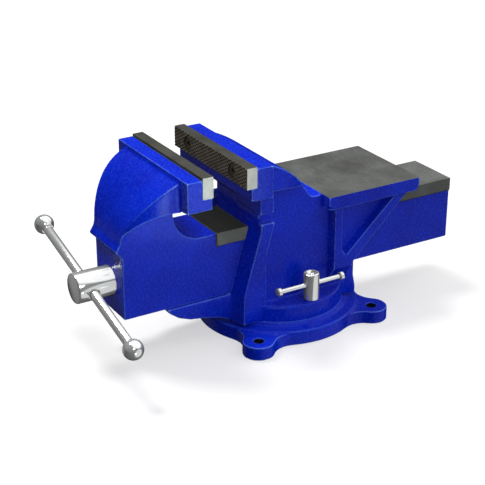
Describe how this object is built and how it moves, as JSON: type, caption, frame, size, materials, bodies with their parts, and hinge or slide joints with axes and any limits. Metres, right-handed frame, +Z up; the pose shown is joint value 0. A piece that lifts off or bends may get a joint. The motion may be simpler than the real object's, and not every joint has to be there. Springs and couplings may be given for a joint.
{
  "type": "bench vise",
  "caption": "Swivel bench vise with serrated steel jaw plates, a sliding jaw on a channel beam driven by a screw with a sliding handle, a flat anvil, and swivel lock bolts with cross bars.",
  "frame": {"origin": "the swivel axis on the underside of the base", "axes": "+Z up along the swivel axis, -Y towards the screw's head and handle, X along the jaws; the jaws stand square to Y and the base is turned 2.7 degrees under them"},
  "size_m": [0.2277, 0.4505, 0.206],
  "materials": {
    "blue_enamel": "gloss royal blue enamel over sand-cast iron, bare where it is machined",
    "machined_iron": "machined cast iron",
    "jaw_steel": "ground steel with a serrated face",
    "bright_steel": "bright polished steel",
    "dark_steel": "black oxide steel"
  },
  "bodies": {
    "base": {"swivel_base": "blue_enamel", "pivot_bolt": "dark_steel", "pivot_washer": "bright_steel", "pivot_nut": "bright_steel"},
    "vise_body": {"fixed_jaw_body": "blue_enamel", "fixed_jaw_plate": "jaw_steel", "fixed_jaw_screws": "dark_steel", "screw_nut": "machined_iron", "screw_nut_bolt": "dark_steel", "clamp_nut_right": "dark_steel", "clamp_nut_left": "dark_steel"},
    "slide": {"sliding_jaw": "blue_enamel", "sliding_jaw_plate": "jaw_steel", "sliding_jaw_screws": "dark_steel", "thrust_spring": "dark_steel"},
    "screw": {"lead_screw": "bright_steel", "spring_washer": "bright_steel", "retaining_pin": "bright_steel"},
    "handle": {"handle_bar": "bright_steel", "handle_ball_right": "bright_steel", "handle_ball_left": "bright_steel"},
    "lock_right": {"lock_bolt_right": "bright_steel"},
    "lock_left": {"lock_bolt_left": "bright_steel"},
    "bar_right": {"lock_bar_right": "bright_steel", "lock_bar_caps_right": "bright_steel"},
    "bar_left": {"lock_bar_left": "bright_steel", "lock_bar_caps_left": "bright_steel"}
  },
  "joints": [
    {"name": "swivel", "type": "hinge", "parent": "base", "child": "vise_body", "pos_m": [0, 0, 0], "axis": [0, 0, 1], "continuous": true},
    {"name": "jaw_slide", "type": "slide", "parent": "vise_body", "child": "slide", "axis": [0, 1, 0], "range_m": [-0.1128, 0.037]},
    {"name": "screw_spin", "type": "hinge", "parent": "slide", "child": "screw", "pos_m": [0, 0, 0.0845], "axis": [0, 1, 0], "range_deg": [-8130, 2670]},
    {"name": "handle_slide", "type": "slide", "parent": "screw", "child": "handle", "axis": [0.9686, 0, -0.2487], "range_m": [-0.077, 0.082]},
    {"name": "lock_right_turn", "type": "hinge", "parent": "vise_body", "child": "lock_right", "pos_m": [0.0605, 0.005, 0.04], "axis": [0, 0, -1], "range_deg": [-2, 14]},
    {"name": "lock_left_turn", "type": "hinge", "parent": "vise_body", "child": "lock_left", "pos_m": [-0.0605, 0.005, 0.04], "axis": [0, 0, 1], "range_deg": [-2, 14]},
    {"name": "lock_bar_right_slide", "type": "slide", "parent": "lock_right", "child": "bar_right", "axis": [0, 1, 0], "range_m": [-0.026, 0.028]},
    {"name": "lock_bar_left_slide", "type": "slide", "parent": "lock_left", "child": "bar_left", "axis": [0, 1, 0], "range_m": [-0.026, 0.028]}
  ],
  "couplings": [
    {"joint": "screw_spin", "follows": "jaw_slide", "rad_per_m": 1256.6}
  ]
}
